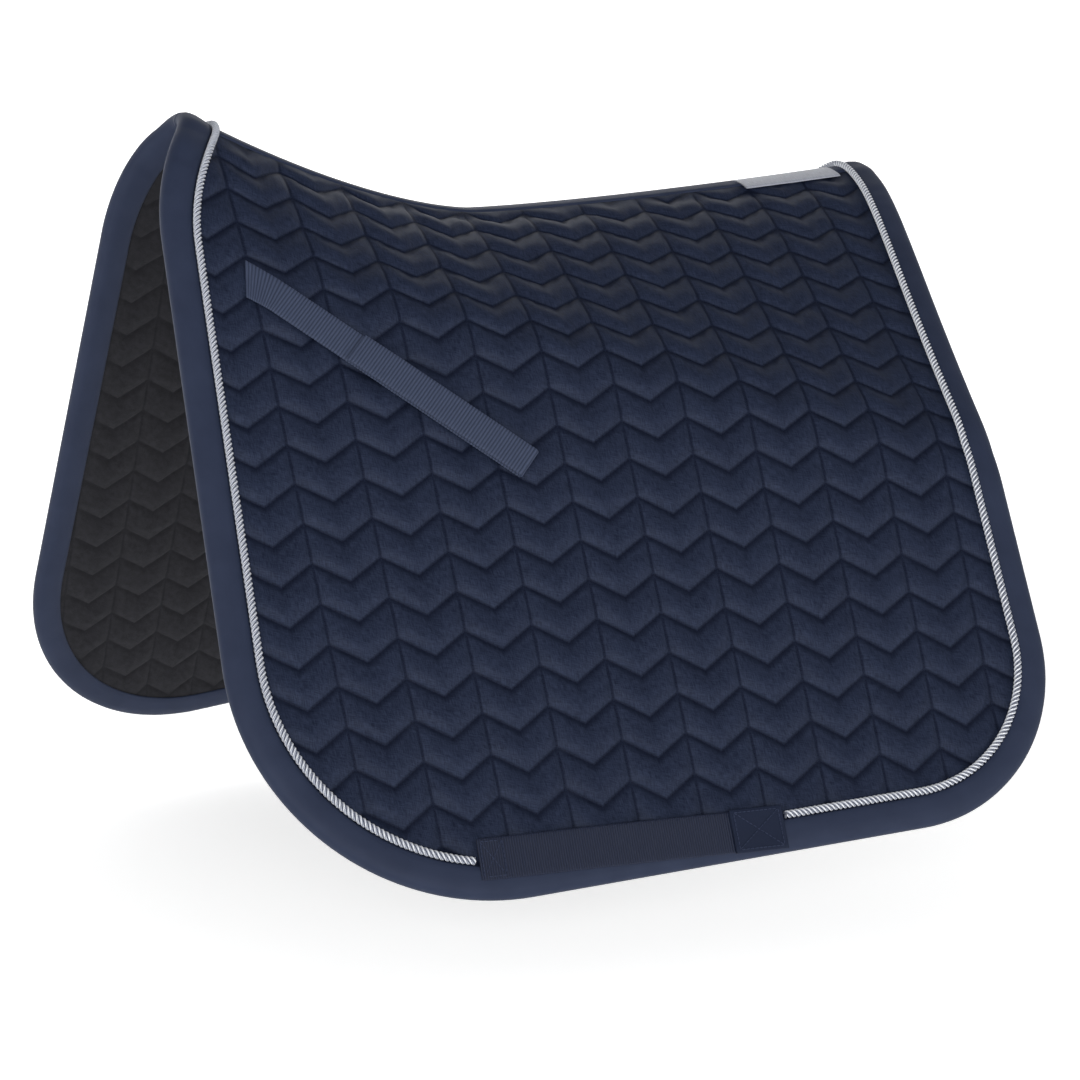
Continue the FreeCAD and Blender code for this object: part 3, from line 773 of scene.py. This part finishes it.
def quilted_panel(name, side, face, crease, peak, material):
    """One side's quilted cloth: face is 1 for the cover and -1 for the lining. It is a closed piece."""
    column, row = np.meshgrid(stops(COLUMNS, COLUMN_STOPS), stops(ROWS, ROW_STOPS))
    x, below = quilt_point(column, row)
    inside = panel_distance(x, below) > 0
    cell = inside[:-1, :-1] | inside[1:, :-1] | inside[:-1, 1:] | inside[1:, 1:]
    used = np.zeros_like(inside)
    for r, c in ((slice(None, -1), slice(None, -1)), (slice(1, None), slice(None, -1)),
                 (slice(None, -1), slice(1, None)), (slice(1, None), slice(1, None))):
        used[r, c] |= cell
    edge = used & ~inside
    x[edge], below[edge] = onto_edge(x[edge], below[edge])
    keep = np.flatnonzero(used.ravel())
    number = np.full(used.size, -1)
    number[keep] = np.arange(len(keep))
    x, below, column, row = (a.ravel()[keep] for a in (x, below, column, row))
    ridge = below + crown_arc(x) - SPINE_TAPE_HALF
    rim = smoothstep(-1 * MM, 13 * MM, np.minimum(edge_distance(x, below) - BINDING, ridge))
    pinch = smoothstep(-1 * MM, 13 * MM, edge_distance(x, below) - BINDING)
    puff = pillow(column, row, x, below, side)
    cut_x, cut_below = x, below
    if PUFF:
        move = simulated_move(column, row)
        puff = lerp(puff, move[:, 2] / MOST_PUFF, SIMULATED_SHARE)
        x = x + move[:, 0] * rim * SIMULATED_SHARE
        below = below + move[:, 1] * rim * SIMULATED_SHARE
    height = crease + (peak - crease) * puff
    level = RIM_LEVEL + (height - RIM_LEVEL) * rim
    level = level + 0.12 * MM * wobble(x / MM, below / MM, 5, low=0.3, high=1.1) * pinch
    outer = surface(x, below, face * level, side)
    inner = surface(x, below, np.full(len(x), face * CORE_LEVEL), side)
    width = used.shape[1]
    faces, seen = [], {}
    flip = (face * side) > 0
    count = len(x)
    for r, c in zip(*np.nonzero(cell)):
        a = r * width + c
        quad = [int(number[n]) for n in (a, a + 1, a + 1 + width, a + width)]
        if not flip:
            quad.reverse()
        faces.append(quad)
        faces.append([n + count for n in reversed(quad)])
        for start, end in zip(quad, quad[1:] + quad[:1]):
            if (end, start) in seen:
                del seen[(end, start)]
            else:
                seen[(start, end)] = True
    for start, end in seen:
        faces.append([end, start, start + count, end + count])
    piece = add_mesh(name, np.concatenate([outer, inner]), faces, material)
    doubled = [np.concatenate([a, a]) for a in (cut_x, cut_below, column, row)]
    point_attribute(piece, "cloth", np.stack([doubled[0], doubled[1], np.zeros(2 * count)], 1))
    point_attribute(piece, "quilt", np.stack([doubled[2], doubled[3], np.zeros(2 * count)], 1))
    return piece


# ---- binding ----

BINDING_TOP = (
    (22.5, 5.1), (22.4, 5.9), (21.5, 6.6), (17.5, 7.1), (12.0, 7.5), (7.5, 7.2), (4.4, 6.4),
    (2.3, 5.1), (0.9, 3.5), (0.2, 1.7),
)
BINDING_INSIDE = ((22.1, 4.75), (14.0, 4.65), (4.0, 3.6))


def binding_profile():
    """The folded binding's section as insets and levels: over the top, round the rim and back inside."""
    lower = [(inset, -level) for inset, level in reversed(BINDING_TOP)]
    inside = [(inset, -level) for inset, level in BINDING_INSIDE]
    return list(BINDING_TOP) + [(0, 0)] + lower + inside + list(reversed(BINDING_INSIDE))


def edge_binding(name, side, material):
    rings, along = [], None
    for inset, level in binding_profile():
        x, below = edge_route(inset * MM)
        middle_line = middle(x, below)
        if along is None:
            along = distances(middle_line)
            turning = corner_share()
        # the binding puckers a little, more so where it goes round a corner
        soft = math.sin(math.pi * np.clip(inset * MM / BINDING, 0, 1)) * np.sign(level)
        pucker = np.sin(along / (3.1 * MM) + 2.2 * np.sin(along / (13 * MM)))
        uneven = 0.16 * wobble(along / MM, along * 0 + inset, 11, low=0.05, high=0.4)
        lift = soft * (uneven + pucker * (0.10 + 0.38 * turning)) * MM
        rings.append(surface(x, below, level * MM + lift, side))
    vertices = np.stack(rings, 1)
    piece = add_mesh(name, vertices, capped_faces(vertices.shape[0], len(rings), flip=side < 0), material)
    around = np.array([p[0] for p in binding_profile()]) * MM
    cloth = np.stack(np.broadcast_arrays(along[:, None], around[None, :], 0.0), -1)
    point_attribute(piece, "cloth", cloth)
    return piece


def corner_share():
    """How strongly the edge turns at each point of its route."""
    x, below = edge_route(12 * MM)
    points = middle(x, below)
    heading = np.diff(points, axis=0)
    heading /= np.linalg.norm(heading, axis=1, keepdims=True)
    turn = np.linalg.norm(np.diff(heading, axis=0), axis=1) / np.linalg.norm(points[2:] - points[:-2], axis=1)
    turn = np.concatenate([[0], turn, [0]])
    soft = np.convolve(turn, np.ones(15) / 15, "same")
    return np.clip(soft / 4.5, 0, 1)


# ---- twisted cord ----

STRANDS = 3
STRAND_RADIUS = 1.45 * MM
STRAND_REACH = 1.55 * MM
CORD_PITCH = 11 * MM


def resample(points, spacing):
    along = distances(points)
    count = max(int(round(along[-1] / spacing)), 2)
    at = np.linspace(0, along[-1], count + 1)
    return np.stack([np.interp(at, along, points[:, n]) for n in range(3)], 1), at


def tube(centre, first, second, radius, sides):
    angle = np.linspace(0, 2 * math.pi, sides, endpoint=False)
    circle = first[:, None] * np.cos(angle)[None, :, None] + second[:, None] * np.sin(angle)[None, :, None]
    return centre[:, None] + circle * radius


def tube_faces(count, sides, offset):
    faces = [[offset + n for n in face] for face in grid_faces(count, sides, closed=True)]
    faces.append([offset + n for n in range(sides)])
    faces.append([offset + (count - 1) * sides + n for n in reversed(range(sides))])
    return faces


def twisted_cord(name, side, begin, end, material):
    """Three strands twisted round each other along part of the edge, given by its first and last point."""
    x, below = edge_route(CORD_INSET)
    x, below = x[begin:end], below[begin:end]
    route = surface(x, below, np.full(len(x), CORD_LEVEL), side)
    above = surface(x, below, np.full(len(x), CORD_LEVEL + MM), side) - route
    points, at = resample(route, 0.9 * MM)
    out, _ = resample_like(route, above, len(points))
    ahead = np.gradient(points, axis=0)
    ahead /= np.linalg.norm(ahead, axis=1, keepdims=True)
    out -= ahead * np.sum(out * ahead, 1, keepdims=True)
    out /= np.linalg.norm(out, axis=1, keepdims=True)
    across = np.cross(ahead, out)
    vertices, faces, cloth = [], [], []
    sides = 7
    for strand in range(STRANDS):
        phase = at / CORD_PITCH * 2 * math.pi + strand * 2 * math.pi / STRANDS
        away = out * np.cos(phase)[:, None] + across * np.sin(phase)[:, None]
        spin = -out * np.sin(phase)[:, None] + across * np.cos(phase)[:, None]
        faces += tube_faces(len(points), sides, len(vertices) * len(points) * sides)
        vertices.append(tube(points + away * STRAND_REACH, away, spin, STRAND_RADIUS, sides))
        turn = np.arange(sides) / sides
        cloth.append(np.stack(np.broadcast_arrays(at[:, None], turn[None, :], float(strand)), -1))
    piece = add_mesh(name, np.stack(vertices), faces, material)
    point_attribute(piece, "cloth", np.stack(cloth))
    return piece


def resample_like(route, values, count):
    along = distances(route)
    at = np.linspace(0, along[-1], count)
    return np.stack([np.interp(at, along, values[:, n]) for n in range(3)], 1), at


# ---- straps ----


def flap_frame(along, drop, turn, side):
    """Origin and directions of a strap: along it, across it towards the bottom of the flap, and outwards."""
    down = DROP_DIRECTION
    origin = FOLD_FRONT + FOLD_AXIS * along + down * drop
    ahead = FOLD_AXIS * math.cos(turn) + down * math.sin(turn)
    across = -FOLD_AXIS * math.sin(turn) + down * math.cos(turn)
    mirror = np.array([1, -side, 1])
    return [v * mirror for v in (origin, ahead, across, FLAP_OUT)]


SKEWED_LENGTH = 0.032


def webbing(name, frame, path, width, thickness, material, rib_pitch=None, rib=0.0, skew=0.0, side=-1):
    """A strip of webbing. Path holds distances along the strap and levels of the middle of its thickness."""
    origin, ahead, across, out = frame
    path = np.asarray(path, float)
    along = distances(path)
    spacing = rib_pitch / 6 if rib_pitch else 1.5 * MM
    at = np.linspace(0, along[-1], int(along[-1] / spacing) + 1)
    s, level = (np.interp(at, along, path[:, n]) for n in range(2))
    slope = np.stack([np.gradient(s), np.gradient(level)], 1)
    slope /= np.linalg.norm(slope, axis=1, keepdims=True)
    normal = np.stack([-slope[:, 1], slope[:, 0]], 1)
    half, t = width / 2, thickness / 2
    section = [(-half, 0), (-half + 0.2 * MM, t * 0.7), (-half + 0.8 * MM, t)]
    section += [(y, t) for y in np.linspace(-half, half, 9)[1:-1]]
    section += [(half - 0.8 * MM, t), (half - 0.2 * MM, t * 0.7), (half, 0)]
    section += [(half - 0.2 * MM, -t * 0.7), (half - 0.8 * MM, -t)]
    section += [(y, -t) for y in np.linspace(half, -half, 9)[1:-1]]
    section += [(-half + 0.8 * MM, -t), (-half + 0.2 * MM, -t * 0.7)]
    section = np.array(section)
    groove = np.abs(np.sin(math.pi * at / rib_pitch)) if rib_pitch else np.zeros(len(at))
    raised = rib * (groove - 0.5)[:, None] * np.sign(section[:, 1])[None]
    thick = section[None, :, 1] + raised
    shift = skew * section[None, :, 0] * np.clip(1 - at / SKEWED_LENGTH, 0, 1)[:, None]
    along_strap = s[:, None] + normal[:, 0:1] * thick + shift
    height = level[:, None] + normal[:, 1:2] * thick
    y = np.broadcast_to(section[None, :, 0], thick.shape)
    vertices = (origin + along_strap[..., None] * ahead + y[..., None] * across + height[..., None] * out)
    piece = add_mesh(name, vertices, capped_faces(len(at), len(section), flip=side < 0), material)
    cloth = np.stack(np.broadcast_arrays(at[:, None], section[None, :, 0], 0.0), -1)
    point_attribute(piece, "cloth", cloth)
    return piece


def spine_strip(name, half_width, start_x, end_x, low, high, material, face=1, near_edge=None):
    """A strip along the ridge between two levels, over both halves of the pad, with rounded long edges."""
    x = np.linspace(start_x, end_x, 161)
    if near_edge is None:
        across = np.linspace(-half_width, half_width, 19)
    else:
        across = np.linspace(near_edge, half_width, 15)
    drop = np.minimum(1, (np.abs(across - (across[0] + across[-1]) / 2) / ((across[-1] - across[0]) / 2)))
    top = low + (high - low) * np.sqrt(np.clip(1 - drop**10, 0, 1))
    grid_x, grid_a = np.meshgrid(x, across, indexing="ij")
    sides = np.where(grid_a > 0, 1, -1)
    below = np.abs(grid_a) - crown_arc(grid_x)
    rings = []
    for level in (top, np.full(len(across), low)):
        height = np.broadcast_to(face * level[None, :], grid_x.shape)
        point = surface(grid_x, below, height, -1)
        point[..., 1] *= -sides
        rings.append(point)
    ring = np.concatenate([rings[0], rings[1][:, ::-1]], 1)
    piece = add_mesh(name, ring, capped_faces(len(x), ring.shape[1], flip=face < 0), material)
    both = np.concatenate([across, across[::-1]])
    point_attribute(piece, "cloth", np.stack(np.broadcast_arrays(x[:, None], both[None, :], 0.0), -1))
    return piece


def stitches(name, lines, thread, length, gap, material):
    """Short stitches sewn along lines. Each line is a list of points with one outward direction."""
    vertices, faces = [], []
    rows, sides = 5, 6
    for points, out in lines:
        points = np.asarray(points, float)
        route, at = resample(points, (length + gap) / 8)
        total = at[-1]
        for n in range(int(total // (length + gap))):
            start = n * (length + gap) + gap / 2
            place = np.linspace(start, start + length, rows)
            centre = np.stack([np.interp(place, at, route[:, k]) for k in range(3)], 1)
            ahead = centre[-1] - centre[0]
            ahead /= np.linalg.norm(ahead)
            up = out - ahead * (out @ ahead)
            up /= np.linalg.norm(up)
            across = np.cross(ahead, up)
            arch = np.sin(np.linspace(0, math.pi, rows))
            angle = np.linspace(0, 2 * math.pi, sides, endpoint=False)
            size = thread * (0.45 + 0.55 * arch)
            ring = up * np.cos(angle)[None, :, None] + across * np.sin(angle)[None, :, None]
            body = centre[:, None] + ring * size[:, None, None] + up * (arch * thread * 0.7)[:, None, None]
            offset = len(vertices) * rows * sides
            vertices.append(body)
            faces += tube_faces(rows, sides, offset)
    return add_mesh(name, np.stack(vertices), faces, material, smooth=True)


COVER = satin("cover satin")
FLEECE = fleece("lining fleece")
BIND = plain_weave("binding cotton", srgb(30, 37, 56), srgb(46, 54, 75))
CORD = silver_thread("silver cord")
GIRTH_RIB, BILLET_RIB = 1.8 * MM, 2.5 * MM
GIRTH = ribbed("girth webbing", srgb(12, 17, 34), srgb(27, 35, 57), GIRTH_RIB)
ANCHOR = plain_weave("girth anchor", srgb(18, 25, 42), srgb(28, 36, 57), 0.6 * MM, 0.6)
BILLET = ribbed("billet webbing", srgb(24, 32, 50), srgb(60, 69, 92), BILLET_RIB)
THREAD = plain_weave("thread", srgb(34, 42, 64), srgb(52, 60, 84), 0.3 * MM, 0.5)
HOOKS = hook_and_loop("hook tape", 900, srgb(14, 17, 28), srgb(34, 40, 58))
LOOPS = hook_and_loop("loop tape", 600, srgb(16, 20, 32), srgb(40, 46, 64))
LABEL = woven_label("woven label")


def build_side(name, side):
    cover = quilted_panel(f"{name}_quilted_cover", side, 1, 1.2 * MM, 6.4 * MM, COVER)
    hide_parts(f"{name}_crown_cover", f"{name}_crown_padding",
                f"{name}_flap_cover", f"{name}_flap_padding")
    bend_at_fold(cover)
    lining = quilted_panel(f"{name}_quilted_lining", side, -1, 1.8 * MM, 6.2 * MM, FLEECE)
    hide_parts(f"{name}_crown_lining", f"{name}_flap_lining")
    bend_at_fold(lining)
    binding = edge_binding(f"{name}_edge_binding", side, BIND)
    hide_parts(f"{name}_flap_binding", "wither_binding", "loin_binding")
    bend_at_fold(binding)
    cords(name, side)
    girth_strap(name, side)
    billet_strap(name, side)


def cords(name, side):
    """The cord's two runs: from the withers to the girth strap, and from its rear end to the loin."""
    x, below = edge_route(CORD_INSET)
    drop = below * DROP_SHARE
    along = (x - FOLD_FRONT[0]) / FOLD_AXIS[0] + ALONG_PER_DROP * below
    low = drop > 0.25
    strap_end = GIRTH_PLACE[0] + GIRTH_LENGTH * math.cos(GIRTH_TURN)
    stop = int(np.flatnonzero(low & (along > GIRTH_PLACE[0] + 1 * MM))[0])
    resume = int(np.flatnonzero(low & (along < strap_end - 1 * MM))[-1]) + 1
    for run, begin, end, arch in (("front", 0, stop, "wither"), ("rear", resume, len(x), "loin")):
        cord = twisted_cord(f"{name}_twisted_cord_{run}", side, begin, end, CORD)
        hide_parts(f"{name}_trim_cord_{run}", f"{arch}_trim_cord")
        bend_at_fold(cord)


def girth_strap(name, side):
    frame_of = flap_frame(*GIRTH_PLACE, GIRTH_TURN, side)
    s = np.linspace(0, GIRTH_LENGTH, 60)
    bow = 1.6 * MM * np.sin(math.pi * np.clip((s - 0.018) / (GIRTH_LENGTH - 0.058), 0, 1))
    path = np.stack([s, 7.3 * MM + bow], 1)
    strap = webbing(f"{name}_girth_webbing", frame_of, path, GIRTH_WIDTH, 1.6 * MM, GIRTH, GIRTH_RIB,
                    0.5 * MM, side=side)
    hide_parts(f"{name}_girth_strap")
    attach(strap, f"{name}_flap")
    s = np.linspace(GIRTH_LENGTH - ANCHOR_LENGTH, GIRTH_LENGTH, 12)
    path = np.stack([s, np.full(12, 9.0 * MM)], 1)
    anchor = webbing(f"{name}_girth_anchor_tab", frame_of, path, ANCHOR_WIDTH, 1.5 * MM, ANCHOR, side=side)
    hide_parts(f"{name}_girth_anchor")
    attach(anchor, f"{name}_flap")
    lines = box_stitch(frame_of, 2 * MM, 18 * MM, GIRTH_WIDTH / 2 - 2.5 * MM, 8.3 * MM)
    lines += box_stitch(frame_of, GIRTH_LENGTH - 37 * MM, GIRTH_LENGTH - 3 * MM, 13.5 * MM, 9.95 * MM)
    sewn = stitches(f"{name}_girth_box_stitches", lines, 0.4 * MM, 2.6 * MM, 0.7 * MM, THREAD)
    point_attribute(sewn, "cloth", vertex_places(sewn))
    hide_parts(f"{name}_girth_stitching")
    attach(sewn, f"{name}_flap")


def vertex_places(piece):
    places = np.empty(len(piece.data.vertices) * 3, np.float32)
    piece.data.vertices.foreach_get("co", places)
    return places


def box_stitch(frame_of, start, end, half, level):
    """A sewn rectangle with a cross in it."""
    origin, ahead, across, out = frame_of

    def at(s, y):
        return origin + ahead * s + across * y + out * level

    corners = [at(start, -half), at(end, -half), at(end, half), at(start, half)]
    lines = [([a, b], out) for a, b in zip(corners, corners[1:] + corners[:1])]
    return lines + [([corners[0], corners[2]], out), ([corners[1], corners[3]], out)]


def billet_strap(name, side):
    frame_of = flap_frame(*BILLET_PLACE, BILLET_TURN, side)
    origin, ahead, _, out = frame_of

    def at(s, level):
        return tuple(origin + ahead * s + out * level)

    fold = BILLET_LENGTH - 4 * MM
    # the strap leaves the cover at its sewn end and lies over the quilting as far as the fold
    path = [
        (-2 * MM, 4.6 * MM), (3 * MM, 5.8 * MM), (9 * MM, 6.9 * MM), (18 * MM, 8.6 * MM),
        (28 * MM, 9.2 * MM), (60 * MM, 9.4 * MM), (fold, 9.2 * MM),
    ]
    lower = webbing(f"{name}_billet_webbing", frame_of, path, BILLET_WIDTH, 1.5 * MM, BILLET, BILLET_RIB,
                    0.45 * MM, skew=0.7, side=side)
    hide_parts(f"{name}_billet_strap", f"{name}_billet_end")
    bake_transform(lower)
    turn = [(fold, 9.2 * MM)]
    middle_level, radius = 11.3 * MM, 2.1 * MM
    for angle in np.linspace(-math.pi / 2, math.pi / 2, 13):
        along = BILLET_LENGTH - 1.5 * MM + radius * math.cos(angle)
        turn.append((along, middle_level + radius * math.sin(angle)))
    tab_end = BILLET_LENGTH - TAB_LENGTH
    turn += [
        (BILLET_LENGTH - 20 * MM, 13.4 * MM), (tab_end + 30 * MM, 13.3 * MM),
        (tab_end + 6 * MM, 12.8 * MM), (tab_end, 12.3 * MM),
    ]
    tab = webbing(f"{name}_billet_tab_webbing", frame_of, turn, BILLET_WIDTH, 1.5 * MM, BILLET, BILLET_RIB,
                  0.45 * MM, side=side)
    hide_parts(f"{name}_billet_tab")
    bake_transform(tab)
    start = BILLET_LENGTH - FASTENER_START
    s = np.linspace(start, start + FASTENER_LENGTH, 60)
    for kind, level, material, body in (
        ("hook", 10.7 * MM, HOOKS, "billet_strap"), ("loop", 11.9 * MM, LOOPS, "billet_tab"),
    ):
        path = np.stack([s, np.full(60, level)], 1)
        fastener = webbing(f"{name}_{kind}_fastener", frame_of, path, FASTENER_WIDTH, 0.9 * MM, material,
                           side=side)
        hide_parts(f"{name}_{kind}_tape")
        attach(fastener, f"{name}_{body}")


def spine_pieces():
    ends = WITHER_X + SPINE_TAPE_END, LOIN_X - SPINE_TAPE_END
    tape = spine_strip("spine_tape", SPINE_TAPE_HALF, *ends, 4.4 * MM, 6.0 * MM, BIND)
    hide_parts("spine_cover_tape")
    under = spine_strip("spine_tape_under", SPINE_TAPE_HALF, *ends, 4.4 * MM, 6.0 * MM, BIND, face=-1)
    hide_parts("spine_seam_tape")
    for piece in (tape, under):
        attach(piece, "spine")
    label = spine_strip("spine_blank_label", LABEL_EDGES[1], *LABEL_ENDS, 6.0 * MM, 6.9 * MM, LABEL,
                        near_edge=LABEL_EDGES[0])
    for vertex in label.data.vertices:
        vertex.co.y = -abs(vertex.co.y)
    label.data.flip_normals()
    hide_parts("spine_label")
    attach(label, "spine")


for name, side in SIDES:
    build_side(name, side)
spine_pieces()

# ---- floor, light and camera ----

lowest, _ = cad_bounds
# A flap swings 48 mm lower at its inner limit, so the floor stays below that.
floor_level = lowest[2] - 60 * MM


def build_floor():
    """A pale floor that curves up into a backdrop far behind the pad."""
    profile = [(-6, 0), (3.2, 0)]
    profile += [(3.2 + 1.5 * math.sin(a), 1.5 - 1.5 * math.cos(a)) for a in np.linspace(0.1, math.pi / 2, 12)]
    profile += [(4.7, 7)]
    vertices = [(x, y, floor_level + z) for y, z in profile for x in (-9, 9)]
    faces = grid_faces(len(profile), 2)
    material = bpy.data.materials.new("floor")
    material.use_nodes = True
    shader = material.node_tree.nodes["Principled BSDF"]
    shader.inputs["Base Color"].default_value = (0.9, 0.9, 0.9, 1)
    shader.inputs["Roughness"].default_value = 0.9
    shader.inputs["Specular IOR Level"].default_value = 0.1
    shader.inputs["Emission Color"].default_value = (1, 1, 1, 1)
    shader.inputs["Emission Strength"].default_value = 0.6
    add_mesh("floor", vertices, faces, material)


def area_light(name, place, aim, size, power):
    light = bpy.data.lights.new(name, "AREA")
    light.shape = "RECTANGLE"
    light.size, light.size_y = size
    light.energy = power
    lamp = bpy.data.objects.new(name, light)
    lamp.location = place
    lamp.rotation_euler = (Vector(aim) - Vector(place)).to_track_quat("-Z", "Y").to_euler()
    bpy.context.scene.collection.objects.link(lamp)


def studio_sky(tree):
    """Soft light from all round, bright near the horizon and dimmer overhead."""
    place = tree.nodes.new("ShaderNodeTexCoord")
    split = tree.nodes.new("ShaderNodeSeparateXYZ")
    ramp = tree.nodes.new("ShaderNodeValToRGB")
    tree.links.new(place.outputs["Generated"], split.inputs[0])
    tree.links.new(split.outputs["Z"], ramp.inputs["Fac"])
    ramp.color_ramp.elements[0].position = 0.22
    ramp.color_ramp.elements[0].color = (1, 1, 1, 1)
    ramp.color_ramp.elements[1].position = 0.55
    ramp.color_ramp.elements[1].color = (0.2, 0.2, 0.2, 1)
    tree.links.new(ramp.outputs["Color"], tree.nodes["Background"].inputs["Color"])
    tree.nodes["Background"].inputs["Strength"].default_value = 0.95


build_floor()
area_light("key", (-1.7, -2.9, 0.35), (0, -0.15, -0.2), (1.4, 1.1), 44)
area_light("fill", (1.4, -3.0, 0.1), (0, -0.15, -0.2), (1.8, 1.2), 14)
area_light("backdrop", (0, 2.0, 2.2), (0, 4.5, 0.6), (3.0, 1.0), 45)

world = bpy.data.worlds.new("studio")
world.use_nodes = True
studio_sky(world.node_tree)
bpy.context.scene.world = world
bpy.context.scene.view_settings.view_transform = "Standard"

camera = bpy.data.objects.new("camera", bpy.data.cameras.new("camera"))
camera.data.lens = 83.1
camera.data.sensor_width = 36
camera.location = (-0.9290, -1.8418, 0.0315)
azimuth, elevation = math.radians(-27.295), math.radians(8.215)
level_share = math.cos(elevation)
back = Vector((math.sin(azimuth) * level_share, -math.cos(azimuth) * level_share, math.sin(elevation)))
camera.rotation_euler = (-back).to_track_quat("-Z", "Y").to_euler()
bpy.context.scene.collection.objects.link(camera)
bpy.context.scene.camera = camera
